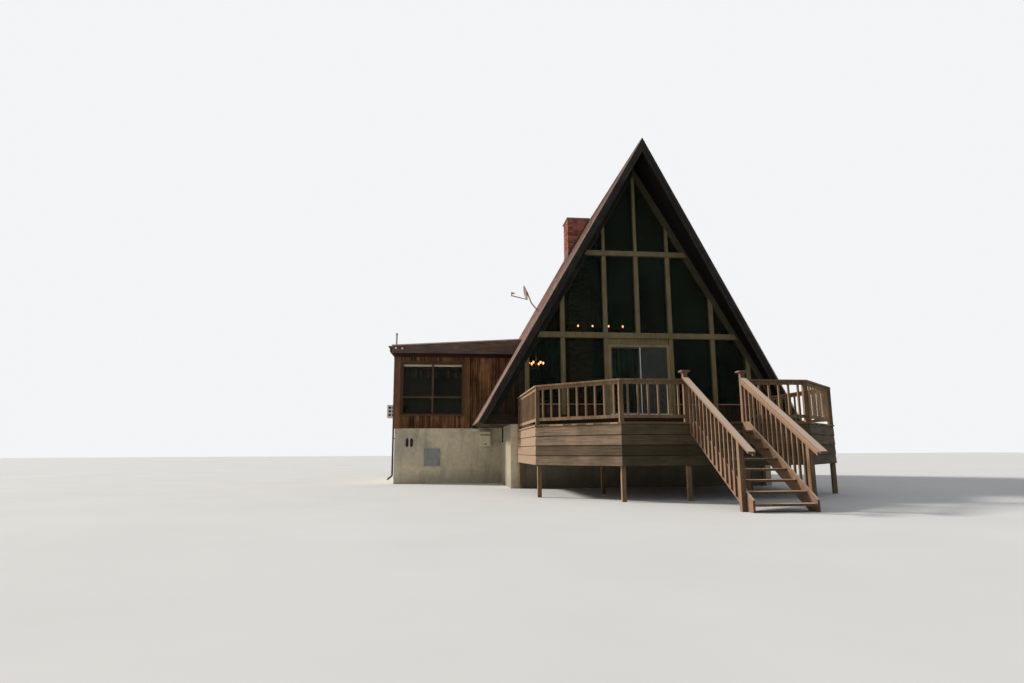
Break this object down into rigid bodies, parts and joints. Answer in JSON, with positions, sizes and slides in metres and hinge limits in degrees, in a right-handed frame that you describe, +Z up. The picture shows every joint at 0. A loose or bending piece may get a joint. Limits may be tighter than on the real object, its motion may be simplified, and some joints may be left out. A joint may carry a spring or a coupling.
{
  "type": "a-frame cabin",
  "caption": "A-frame cabin with a glazed front gable, sliding patio door, raised timber deck with stair, brick chimney and a low-roofed side wing.",
  "frame": {"origin": "under the middle of the front foundation wall, on the ridge line, at the lowest ground level", "axes": "+Z up, +Y from the glazed front gable to the back, +X to the right seen from the front"},
  "size_m": [12.3702, 17.352, 10.14],
  "materials": {
    "masonry": "painted render, chalky",
    "floor_wood": "plain boards",
    "shingles": "mineral shingles on boards",
    "flat_roofing": "mineral felt on boards",
    "rake_wood": "stained, weathered",
    "gable_paint": "olive brown paint, satin",
    "glass": "clear, dark inside",
    "door_glass": "clear",
    "door_metal": "anodised, satin",
    "siding": "red brown stain, streaky",
    "window_wood": "brown paint",
    "fascia_wood": "dark red brown stain",
    "brick": "red brick",
    "cap_stone": "mortar cap",
    "deck_wood": "weathered stain",
    "skirt_wood": "lapped boards, stained",
    "dish_metal": "satin",
    "cooler_metal": "satin",
    "meter_metal": "satin",
    "hatch_metal": "satin",
    "pipe_metal": "satin"
  },
  "bodies": {
    "house": {"foundation_front": "masonry", "foundation_back": "masonry", "foundation_sides": "masonry", "wing_foundation_front": "masonry", "wing_foundation_back": "masonry", "wing_foundation_left": "masonry", "main_floor": "floor_wood", "wing_floor": "floor_wood", "roof_left": "shingles", "roof_right": "shingles", "wing_roof": "flat_roofing", "rake_boards_left": "rake_wood", "rake_boards_right": "rake_wood", "gable_rafter_left": "gable_paint", "gable_rafter_right": "gable_paint", "gable_beams": "gable_paint", "gable_posts": "gable_paint", "door_frame": "gable_paint", "gable_glass": "glass", "window_glass": "glass", "door_fixed_glass": "door_glass", "door_fixed_sash": "door_metal", "back_wall": "siding", "wing_front_wall": "siding", "wing_back_wall": "siding", "wing_left_wall": "siding", "gable_panels": "siding", "window_frames": "window_wood", "wing_fascia": "fascia_wood", "gable_base_board": "fascia_wood", "chimney": "brick", "chimney_cap": "cap_stone", "deck_boards": "deck_wood", "deck_joists": "deck_wood", "deck_posts": "deck_wood", "newel_posts": "deck_wood", "railing_sides": "deck_wood", "railing_corners": "deck_wood", "railing_fronts": "deck_wood", "stair_stringers": "deck_wood", "stair_treads": "deck_wood", "stair_railings": "deck_wood", "door_step": "deck_wood", "deck_skirt": "skirt_wood", "satellite_dish": "dish_metal", "ac_unit": "cooler_metal", "meter_box": "meter_metal", "crawl_hatch": "hatch_metal", "rain_pipe": "pipe_metal", "corner_pole": "pipe_metal"},
    "patio_door": {"door_sliding_sash": "door_metal", "door_sliding_glass": "door_glass"}
  },
  "joints": [
    {"name": "patio_door_slide", "type": "slide", "parent": "house", "child": "patio_door", "axis": [-1, 0, 0], "range_m": [0, 0.8]}
  ]
}
